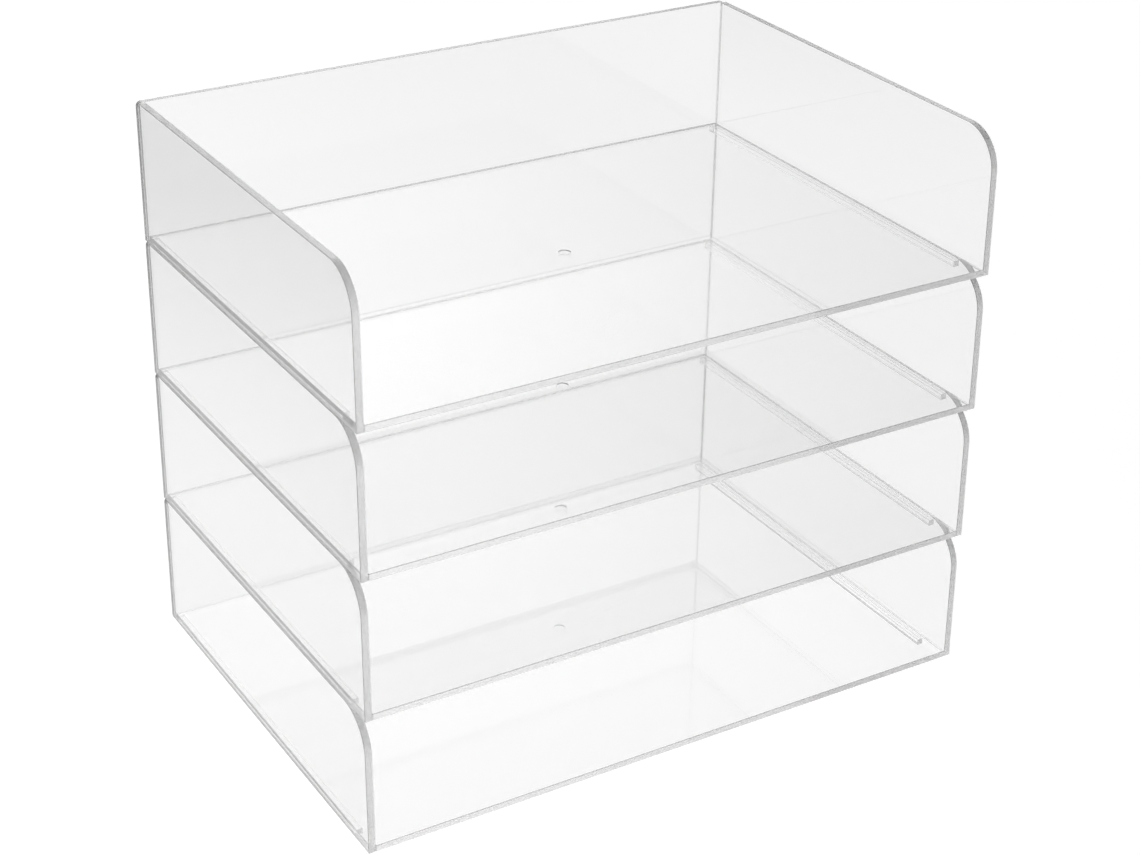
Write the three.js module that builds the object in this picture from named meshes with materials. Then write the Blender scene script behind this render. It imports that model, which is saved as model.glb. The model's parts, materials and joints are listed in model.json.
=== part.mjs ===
// A pile of four identical side-loading letter trays in clear acrylic sheet. Each tray is six bonded
// pieces: a floor, a back wall, two side walls and two rails under the floor. The rails are the feet of
// the pile, and they drop between the side walls of the tray below, so that no tray slips sideways.
// Millimetres. +X is to the right, +Y to the back, +Z up. The open side faces -Y, and the origin is
// the centre of the pile at the level that the lowest rails stand on.

import * as THREE from 'three';

// The pile
const trayNames = ['bottom_tray', 'second_tray', 'third_tray', 'top_tray'];

// One tray, over all
const trayWidth = 330;
const trayDepth = 229;
const wallHeight = 70.6; // from the floor's underside to the top edge, and so from tray to tray

// The sheet
const floorThickness = 3.4;
const sideWallThickness = 3.6;
const backWallThickness = 3.6;

// The side walls' front edges
const frontEdgeLean = THREE.MathUtils.degToRad(1.2);
const frontCornerRadius = 20;
const frontCornerSteps = 14;

// The back wall's top corners
const backCornerRadius = 2.5;
const backCornerSteps = 5;

// The rails
const railWidth = 3.2;
const railHeight = 3;
const railSideClearance = 0.8; // from the rail to the side wall of the tray below
const railFrontSetback = 16.5; // from the floor's front edge to the rail's front end
const railBackClearance = 1; // from the rail's back end to the back wall of the tray below

// What follows from them
const innerWidth = trayWidth - 2 * sideWallThickness;
const innerDepth = trayDepth - backWallThickness;
const railLength = innerDepth - railFrontSetback - railBackClearance;

const sheetAcrylic = { color: 0xf2f5f5, roughness: 0.05, metalness: 0, transparent: true, opacity: 0.3 };
const railAcrylic = { color: 0xe6eaea, roughness: 0.12, metalness: 0, transparent: true, opacity: 0.4 };

function makePiece(name, geometry, finish) {
  const piece = new THREE.Mesh(geometry, new THREE.MeshStandardMaterial(finish));
  piece.name = name;
  return piece;
}

function extrudeOutline(outline, thickness, curveSegments) {
  return new THREE.ExtrudeGeometry(outline, { depth: thickness, bevelEnabled: false, curveSegments });
}

// A box from its low corner, so that neighbours share their faces exactly.
function boxFrom(x, y, z, width, depth, height) {
  const box = new THREE.BoxGeometry(width, depth, height);
  return box.translate(x + width / 2, y + depth / 2, z + height / 2);
}

// The outline in depth (the shape's x) and height (the shape's y). The corner arc touches both the
// level top edge and the leaning front edge.
function sideWallOutline() {
  const arcHeight = wallHeight - frontCornerRadius;
  const arcDepth = arcHeight * Math.tan(frontEdgeLean) + frontCornerRadius / Math.cos(frontEdgeLean);
  const outline = new THREE.Shape();
  outline.moveTo(0, 0);
  outline.lineTo(innerDepth, 0);
  outline.lineTo(innerDepth, wallHeight);
  outline.lineTo(arcDepth, wallHeight);
  outline.absarc(arcDepth, arcHeight, frontCornerRadius, Math.PI / 2, Math.PI - frontEdgeLean, false);
  outline.closePath();
  return outline;
}

function sideWallGeometry() {
  const geometry = extrudeOutline(sideWallOutline(), sideWallThickness, frontCornerSteps);
  // The outline's depth becomes Y, its height Z, and the extrusion X.
  const stand = new THREE.Matrix4().makeBasis(
    new THREE.Vector3(0, 1, 0),
    new THREE.Vector3(0, 0, 1),
    new THREE.Vector3(1, 0, 0),
  );
  return geometry.applyMatrix4(stand);
}

// The outline in width and height, eased at its two top corners.
function backWallOutline() {
  const outline = new THREE.Shape();
  const arcHeight = wallHeight - backCornerRadius;
  outline.moveTo(0, 0);
  outline.lineTo(trayWidth, 0);
  outline.absarc(trayWidth - backCornerRadius, arcHeight, backCornerRadius, 0, Math.PI / 2, false);
  outline.absarc(backCornerRadius, arcHeight, backCornerRadius, Math.PI / 2, Math.PI, false);
  outline.closePath();
  return outline;
}

function backWallGeometry() {
  const geometry = extrudeOutline(backWallOutline(), backWallThickness, backCornerSteps);
  // The outline's width stays X, its height becomes Z, and the extrusion runs forward from the back.
  const stand = new THREE.Matrix4().makeBasis(
    new THREE.Vector3(1, 0, 0),
    new THREE.Vector3(0, 0, 1),
    new THREE.Vector3(0, -1, 0),
  );
  return geometry.applyMatrix4(stand).translate(0, trayDepth, 0);
}

// A tray stands with its left front corner, at the floor's underside, on its own origin.
function makeTray(trayName) {
  const tray = new THREE.Group();

  const floor = boxFrom(sideWallThickness, 0, 0, innerWidth, innerDepth, floorThickness);
  tray.add(makePiece(`${trayName}_floor`, floor, sheetAcrylic));
  tray.add(makePiece(`${trayName}_back_wall`, backWallGeometry(), sheetAcrylic));

  const leftWall = makePiece(`${trayName}_left_wall`, sideWallGeometry(), sheetAcrylic);
  const rightWall = makePiece(`${trayName}_right_wall`, sideWallGeometry(), sheetAcrylic);
  rightWall.position.x = trayWidth - sideWallThickness;
  tray.add(leftWall, rightWall);

  const leftRailX = sideWallThickness + railSideClearance;
  const railPlaces = {
    left_rail: leftRailX,
    right_rail: trayWidth - leftRailX - railWidth,
  };
  for (const [railName, railX] of Object.entries(railPlaces)) {
    const rail = boxFrom(railX, railFrontSetback, -railHeight, railWidth, railLength, railHeight);
    tray.add(makePiece(`${trayName}_${railName}`, rail, railAcrylic));
  }
  return tray;
}

const pile = new THREE.Group();
for (const [level, trayName] of trayNames.entries()) {
  const tray = makeTray(trayName);
  tray.position.set(-trayWidth / 2, -trayDepth / 2, railHeight + level * wallHeight);
  pile.add(tray);
}

export default pile;
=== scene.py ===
import json
import math

import bmesh
import bpy
from mathutils import Matrix, Vector


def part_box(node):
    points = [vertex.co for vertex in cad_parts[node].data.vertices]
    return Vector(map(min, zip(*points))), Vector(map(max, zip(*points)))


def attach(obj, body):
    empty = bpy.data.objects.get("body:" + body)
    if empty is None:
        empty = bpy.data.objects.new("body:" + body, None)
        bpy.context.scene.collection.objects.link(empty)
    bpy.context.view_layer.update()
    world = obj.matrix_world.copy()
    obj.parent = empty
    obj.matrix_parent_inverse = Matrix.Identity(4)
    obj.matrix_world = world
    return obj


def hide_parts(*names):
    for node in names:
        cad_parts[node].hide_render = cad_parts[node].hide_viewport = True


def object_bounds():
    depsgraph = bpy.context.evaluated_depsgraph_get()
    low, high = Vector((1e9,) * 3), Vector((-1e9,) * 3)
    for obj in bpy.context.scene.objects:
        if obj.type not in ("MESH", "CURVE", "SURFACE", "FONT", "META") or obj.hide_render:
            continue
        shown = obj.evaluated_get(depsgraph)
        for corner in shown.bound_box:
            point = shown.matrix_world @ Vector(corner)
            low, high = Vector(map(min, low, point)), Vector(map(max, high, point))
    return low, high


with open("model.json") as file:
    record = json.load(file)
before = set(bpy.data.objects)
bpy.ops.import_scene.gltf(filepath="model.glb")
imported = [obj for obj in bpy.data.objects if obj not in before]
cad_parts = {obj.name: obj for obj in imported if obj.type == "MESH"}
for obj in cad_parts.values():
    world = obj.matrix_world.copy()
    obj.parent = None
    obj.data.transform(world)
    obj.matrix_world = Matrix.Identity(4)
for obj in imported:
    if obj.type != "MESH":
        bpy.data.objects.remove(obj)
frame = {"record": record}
cad_low, cad_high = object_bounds()
trays = list(frame["record"]["behaviour"]["bodies"])

# ---- Floors --------------------------------------------------------------------------------------
# A tray's floor is one flat sheet of colourless acrylic, cut to drop between the side walls and in
# front of the back wall, and solvent-bonded to all three. Its open front edge is flame-polished. A
# small round mark in the middle of the top face is left from making it, and is shown as a dimple.

bond_reach = 0.00002  # how far the solvent sinks one sheet into the other
polish_round = 0.0004  # how far flame polishing rounds a cut edge
dimple_radius = 0.0033
dimple_depth = 0.00025
dimple_slope = 0.25  # the share of the radius that slopes, round a flat middle
dimple_sides = 40
dimple_rings = 6
level_ring_reach = 1.3  # a level ring round the dimple, in dimple radii

acrylic_bending = 1.49  # the refractive index
wave_scale = 16.0
wave_height = 0.00001
smear_scale = 38.0
smear_roughness = 0.02
ripple_scale = 260.0
ripple_height = 0.000002
ripple_roughness = 0.04
ripple_greying = 0.02
face_roughness = 0.012
edge_darkening = 1.48  # how a cut edge greys with the length of the sheet behind it
edge_darkening_bend = 1.5


class Wire:
    """A socket in a shader. Sums on it add Math nodes, with numbers or other wires."""

    def __init__(self, shader, socket):
        self.shader = shader
        self.socket = socket

    def maths(self, operation, first, second):
        return self.shader.node("Math", {"operation": operation}, {0: first, 1: second})

    def __add__(self, other):
        return self.maths("ADD", self, other)

    def __sub__(self, other):
        return self.maths("SUBTRACT", self, other)

    def __rsub__(self, other):
        return self.maths("SUBTRACT", other, self)

    def __mul__(self, other):
        return self.maths("MULTIPLY", self, other)

    def __pow__(self, other):
        return self.maths("POWER", self, other)

    __radd__ = __add__
    __rmul__ = __mul__


class Shader:
    """The node tree of a material or a world, and the one way to add a node to it."""

    def __init__(self, owner):
        owner.use_nodes = True
        self.tree = owner.node_tree
        self.tree.nodes.clear()

    def node(self, kind, settings, sockets, output=0):
        made = self.tree.nodes.new("ShaderNode" + kind)
        for name, value in settings.items():
            setattr(made, name, value)
        for name, value in sockets.items():
            if isinstance(value, Wire):
                self.tree.links.new(value.socket, made.inputs[name])
            else:
                made.inputs[name].default_value = value
        return Wire(self, made.outputs[output]) if made.outputs else None


def clear_acrylic(name, face_grey, edge_grey, edge_haze):
    """Colourless acrylic: clean through the faces, hazier through the cut edges."""
    material = bpy.data.materials.new(name)
    finish = Shader(material)
    place = finish.node("TexCoord", {}, {}, "Object")
    edge_run = finish.node("Attribute", {"attribute_name": "edge_run"}, {}, "Fac")
    cut_edge = finish.node("Math", {"operation": "GREATER_THAN"}, {0: edge_run, 1: 0.0})

    def noise(scale, detail):
        return finish.node("TexNoise", {}, {"Vector": place, "Scale": scale, "Detail": detail})

    # Making the sheet leaves it very slightly wavy, handling leaves faint smears, and the flame
    # leaves short ripples along the edges. An edge looks greyer the longer the sheet behind it is.
    waves = noise(wave_scale, 1.0)
    smears = noise(smear_scale, 4.0)
    ripples = noise(ripple_scale, 2.0)
    edge_change = edge_grey - face_grey + ripple_greying * (ripples - 0.5)
    grey = face_grey + cut_edge * edge_change - edge_darkening * edge_run**edge_darkening_bend
    colour = finish.node("CombineColor", {}, {"Red": grey, "Green": grey, "Blue": grey})
    edge_roughness = edge_haze + ripple_roughness * ripples
    roughness = face_roughness + smear_roughness * smears + cut_edge * edge_roughness
    height = wave_height * waves + ripple_height * cut_edge * ripples
    surface = finish.node("Bump", {}, {"Strength": 1.0, "Distance": 1.0, "Height": height})
    acrylic = finish.node(
        "BsdfPrincipled",
        {},
        {
            "Base Color": colour,
            "Roughness": roughness,
            "Normal": surface,
            "IOR": acrylic_bending,
            "Transmission Weight": 1.0,
        },
    )
    finish.node("OutputMaterial", {}, {"Surface": acrylic})
    return material


sheet_finish = clear_acrylic("clear_sheet", face_grey=0.905, edge_grey=1.0, edge_haze=0.18)


def mark_cut_edges(cut, width, height):
    """Gives each sawn face the length of the sheet behind it, and the sheet's two faces nothing."""
    cut.normal_update()
    mark = cut.faces.layers.float.new("edge_run")
    for face in cut.faces:
        sawn = abs(face.normal.z) < 0.5
        run = abs(face.normal.x) * width + abs(face.normal.y) * height
        face[mark] = run if sawn else 0.0
        face.smooth = True


def stand_piece(name, cut, stand, finish, rounding):
    """Stands a sheet, cut in its own plane, in its place, and rounds its edges."""
    cut.transform(stand)
    mesh = bpy.data.meshes.new(name)
    cut.to_mesh(mesh)
    cut.free()
    mesh.materials.append(finish)
    piece = bpy.data.objects.new(name, mesh)
    bpy.context.scene.collection.objects.link(piece)
    bevel = piece.modifiers.new("edge_rounding", "BEVEL")
    bevel.width = rounding
    bevel.segments = 2
    bevel.limit_method = "ANGLE"
    bevel.angle_limit = math.radians(30)
    bevel.harden_normals = True
    return piece


def fit_piece(piece, tray, node):
    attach(piece, tray)
    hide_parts(node)


def dimpled_sheet(width, depth, thickness):
    """A rectangular sheet from its low corner, with the round dimple in the middle of its top."""
    cut = bmesh.new()
    rectangle = [(0, 0), (width, 0), (width, depth), (0, depth)]
    bottom = [cut.verts.new((x, y, 0)) for x, y in rectangle]
    top = [cut.verts.new((x, y, thickness)) for x, y in rectangle]
    cut.faces.new(reversed(bottom))
    for i in range(4):
        cut.faces.new((bottom[i], bottom[i - 3], top[i - 3], top[i]))
    # The first ring is level, a little wider than the dimple, and keeps its shading off the sheet.
    profile = [(level_ring_reach, 0.0)]
    for step in range(dimple_rings + 1):
        share = step / dimple_rings
        drop = dimple_depth * (0.5 - 0.5 * math.cos(math.pi * share))
        profile.append((1 - dimple_slope * share, drop))
    rings = []
    for reach, drop in profile:
        ring = []
        for side in range(dimple_sides):
            turn = 2 * math.pi * side / dimple_sides
            x = width / 2 + dimple_radius * reach * math.cos(turn)
            y = depth / 2 + dimple_radius * reach * math.sin(turn)
            ring.append(cut.verts.new((x, y, thickness - drop)))
        rings.append(ring)
    middle = cut.verts.new((width / 2, depth / 2, thickness - dimple_depth))
    for outer, inner in zip(rings, rings[1:]):
        for i in range(dimple_sides):
            cut.faces.new((outer[i - 1], outer[i], inner[i], inner[i - 1]))
    for i in range(dimple_sides):
        cut.faces.new((rings[-1][i - 1], rings[-1][i], middle))
    # The flat top, between the sheet's own outline and the dimple's rim.
    quarter = dimple_sides // 4
    rim = rings[0]
    starts = [5 * dimple_sides // 8, 7 * dimple_sides // 8, dimple_sides // 8, 3 * dimple_sides // 8]
    for i, start in enumerate(starts):
        arc = [rim[(start + step) % dimple_sides] for step in range(quarter + 1)]
        cut.faces.new([top[i], top[i - 3]] + arc[::-1])
    mark_cut_edges(cut, 0.0, depth)
    return cut


for tray in trays:
    node = tray + "_floor"
    low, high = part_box(node)
    width = high.x - low.x + 2 * bond_reach
    depth = high.y - low.y + bond_reach
    sheet = dimpled_sheet(width, depth, high.z - low.z)
    stand = Matrix.Translation((low.x - bond_reach, low.y, low.z))
    piece = stand_piece(tray + "_floor_sheet", sheet, stand, sheet_finish, polish_round)
    fit_piece(piece, tray, node)

# ---- Back walls ----------------------------------------------------------------------------------
# The back wall is a sheet as wide as the tray, standing behind the floor and the ends of the side
# walls. Its two top corners are eased by hand. The tray above rests its floor on the top edge.

seat_gap = 0.00006  # how far a resting edge stands off the sheet above it
back_corner_radius = 0.0025
back_corner_steps = 6


def cut_sheet(outline, thickness):
    """A sheet cut to an outline in its own plane, from points that run anticlockwise."""
    cut = bmesh.new()
    lower = cut.faces.new([cut.verts.new((u, v, 0)) for u, v in outline])
    risen = bmesh.ops.extrude_face_region(cut, geom=[lower])["geom"]
    corners = [part for part in risen if isinstance(part, bmesh.types.BMVert)]
    bmesh.ops.translate(cut, verts=corners, vec=(0, 0, thickness))
    bmesh.ops.recalc_face_normals(cut, faces=cut.faces)
    mark_cut_edges(cut, max(u for u, v in outline), max(v for u, v in outline))
    return cut


def arc_points(centre, radius, start, end, steps):
    """Points on an arc, both ends included, with angles in radians."""
    points = []
    for step in range(steps + 1):
        turn = start + (end - start) * step / steps
        points.append((centre[0] + radius * math.cos(turn), centre[1] + radius * math.sin(turn)))
    return points


for tray in trays:
    node = tray + "_back_wall"
    low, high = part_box(node)
    width = high.x - low.x
    height = high.z - low.z - seat_gap
    arc_height = height - back_corner_radius
    right_corner = (width - back_corner_radius, arc_height)
    left_corner = (back_corner_radius, arc_height)
    outline = [(0, 0), (width, 0)]
    outline += arc_points(right_corner, back_corner_radius, 0, math.pi / 2, back_corner_steps)
    outline += arc_points(left_corner, back_corner_radius, math.pi / 2, math.pi, back_corner_steps)
    # The outline's width runs along X, its height along Z, and its thickness forward from the back.
    stand = Matrix.Translation((low.x, high.y, low.z)) @ Matrix.Rotation(math.pi / 2, 4, "X")
    sheet = cut_sheet(outline, high.y - low.y)
    piece = stand_piece(tray + "_back_sheet", sheet, stand, sheet_finish, polish_round)
    fit_piece(piece, tray, node)

# ---- Side walls ----------------------------------------------------------------------------------
# The two side walls of a tray are mirror images, sawn from the same sheet. The front edge leans
# back a little and runs into the top edge through a large round corner, so that a hand can reach in.

front_edge_lean = math.radians(1.2)
front_corner_radius = 0.020
front_corner_steps = 36

for tray in trays:
    for side in ("left", "right"):
        node = f"{tray}_{side}_wall"
        low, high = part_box(node)
        depth = high.y - low.y + bond_reach
        height = high.z - low.z - seat_gap
        arc_height = height - front_corner_radius
        arc_depth = arc_height * math.tan(front_edge_lean)
        arc_depth += front_corner_radius / math.cos(front_edge_lean)
        outline = [(0, 0), (depth, 0), (depth, height)]
        outline += arc_points(
            (arc_depth, arc_height),
            front_corner_radius,
            math.pi / 2,
            math.pi - front_edge_lean,
            front_corner_steps,
        )
        # The outline's depth runs along Y, its height along Z, and its thickness along X.
        lay = Matrix(((0, 0, 1, low.x), (1, 0, 0, low.y), (0, 1, 0, low.z), (0, 0, 0, 1)))
        sheet = cut_sheet(outline, high.x - low.x)
        piece = stand_piece(f"{tray}_{side}_sheet", sheet, lay, sheet_finish, polish_round)
        fit_piece(piece, tray, node)

# ---- Rails ---------------------------------------------------------------------------------------
# Under each floor run two thin square strips of the same acrylic, sawn, scraped clean and bonded
# just inside the side walls. They are the tray's feet, and they drop inside the tray below.

scraped_round = 0.00015  # scraping only breaks the edges of a rail
rail_finish = clear_acrylic("clear_rail", face_grey=0.98, edge_grey=1.0, edge_haze=0.04)

for tray in trays:
    for side in ("left", "right"):
        node = f"{tray}_{side}_rail"
        low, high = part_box(node)
        width = high.x - low.x
        length = high.y - low.y
        outline = [(0, 0), (width, 0), (width, length), (0, length)]
        strip = cut_sheet(outline, high.z - low.z + bond_reach)
        stand = Matrix.Translation(low)
        piece = stand_piece(f"{tray}_{side}_strip", strip, stand, rail_finish, scraped_round)
        fit_piece(piece, tray, node)

# ---- Studio --------------------------------------------------------------------------------------
# The pile stands on a light table, a pale opal sheet lit from below. Its pool of light falls away
# to the left of the pile, very slightly to the right, and far off all round. The dim room has one
# large soft light behind the pile to the right, and a fainter, wider one to the left.

table_reach = 6.0
table_drop = 0.0002
table_grey = 0.57
table_roughness = 0.9
table_glow = 0.775
pool_side_azimuth = math.radians(-74)
pool_side_start = 0.277
pool_side_end = 0.627
pool_side_dimming = 0.66
pool_right_start = -0.05
pool_right_end = 0.45
pool_right_dimming = 0.08
pool_far_start = 1.6
pool_far_end = 5.0

table_mesh = bpy.data.meshes.new("table")
corners = [(-1, -1), (1, -1), (1, 1), (-1, 1)]
table_mesh.from_pydata(
    [(table_reach * x, table_reach * y, cad_low.z - table_drop) for x, y in corners],
    [],
    [(0, 1, 2, 3)],
)
table = bpy.data.objects.new("table", table_mesh)
bpy.context.scene.collection.objects.link(table)
table_material = bpy.data.materials.new("light_table")
opal = Shader(table_material)
place = opal.node("TexCoord", {}, {}, "Object")
pool_side = (math.sin(pool_side_azimuth), math.cos(pool_side_azimuth), 0.0)
aside = opal.node("VectorMath", {"operation": "DOT_PRODUCT"}, {0: place, 1: pool_side}, "Value")
rightward = opal.node("VectorMath", {"operation": "DOT_PRODUCT"}, {0: place, 1: (1, 0, 0)}, "Value")
distance = opal.node("VectorMath", {"operation": "LENGTH"}, {0: place}, "Value")


def fall_off(reach, start, end, most):
    """Rises smoothly from nothing at the start to the most at the end."""
    stops = {"Value": reach, "From Min": start, "From Max": end, "To Min": 0.0, "To Max": most}
    return opal.node("MapRange", {"interpolation_type": "SMOOTHSTEP"}, stops)


side_dimming = fall_off(aside, pool_side_start, pool_side_end, pool_side_dimming)
right_dimming = fall_off(rightward, pool_right_start, pool_right_end, pool_right_dimming)
far_dimming = fall_off(distance, pool_far_start, pool_far_end, 1.0)
glow = table_glow * (1 - side_dimming) * (1 - right_dimming) * (1 - far_dimming)
glow_colour = opal.node("CombineColor", {}, {"Red": glow, "Green": glow, "Blue": glow})
surface = opal.node(
    "BsdfPrincipled",
    {},
    {
        "Base Color": (table_grey, table_grey, table_grey, 1.0),
        "Roughness": table_roughness,
        "Emission Color": glow_colour,
        "Emission Strength": 1.0,
    },
)
opal.node("OutputMaterial", {}, {"Surface": surface})
table_mesh.materials.append(table_material)

room_light = 0.44
room_slope = 0.05
lamp_light = 1.6
lamp_azimuth = 0.379
lamp_elevation = 0.487
lamp_spread = 18.0
fill_light = 0.7
fill_azimuth = -0.65
fill_elevation = 0.45
fill_spread = 5.0

world = bpy.data.worlds.new("studio")
bpy.context.scene.world = world
room = Shader(world)
direction = room.node("TexCoord", {}, {}, "Generated")
away = (math.sin(lamp_azimuth), math.cos(lamp_azimuth), 0.0)
across = room.node("VectorMath", {"operation": "DOT_PRODUCT"}, {0: direction, 1: away}, "Value")


def soft_light(strength, azimuth, elevation, spread):
    """Light that comes mostly from one direction, and fades smoothly round it."""
    level = math.cos(elevation)
    source = (math.sin(azimuth) * level, math.cos(azimuth) * level, math.sin(elevation))
    facing = room.node("VectorMath", {"operation": "DOT_PRODUCT"}, {0: direction, 1: source}, "Value")
    ahead = room.node("Math", {"operation": "MAXIMUM"}, {0: facing, 1: 0.0})
    return strength * ahead**spread


light = room_light + room_slope * across
light = light + soft_light(lamp_light, lamp_azimuth, lamp_elevation, lamp_spread)
light = light + soft_light(fill_light, fill_azimuth, fill_elevation, fill_spread)
background = room.node("Background", {}, {"Strength": light})
room.node("OutputWorld", {}, {"Surface": background})

# The camera looks down from in front of the left corner with a longish lens.
camera_place = Vector((-0.5326, -0.8887, 0.6661))
camera_azimuth = math.radians(-31.19)
camera_elevation = math.radians(26.97)
camera_roll = math.radians(0.93)
camera_lens = 75.0
camera_rise = -0.024

camera_data = bpy.data.cameras.new("camera")
camera_data.lens = camera_lens
camera_data.sensor_width = 36.0
camera_data.shift_y = camera_rise
camera = bpy.data.objects.new("camera", camera_data)
camera.rotation_mode = "QUATERNION"
toward = Vector(
    (
        math.sin(camera_azimuth) * math.cos(camera_elevation),
        -math.cos(camera_azimuth) * math.cos(camera_elevation),
        math.sin(camera_elevation),
    )
)
turn = (-toward).to_track_quat("-Z", "Y").to_matrix() @ Matrix.Rotation(camera_roll, 3, "Z")
camera.rotation_quaternion = turn.to_quaternion()
camera.location = camera_place
bpy.context.scene.collection.objects.link(camera)
bpy.context.scene.camera = camera

# Light passes through up to four trays' sheets, and runs on inside their edges, before it leaves.
cycles = bpy.context.scene.cycles
cycles.max_bounces = 128
cycles.transmission_bounces = 64
cycles.glossy_bounces = 96
cycles.diffuse_bounces = 6
cycles.blur_glossy = 0.0
cycles.caustics_refractive = True
cycles.caustics_reflective = True
bpy.context.scene.view_settings.view_transform = "Standard"
bpy.context.scene.view_settings.exposure = 0.0
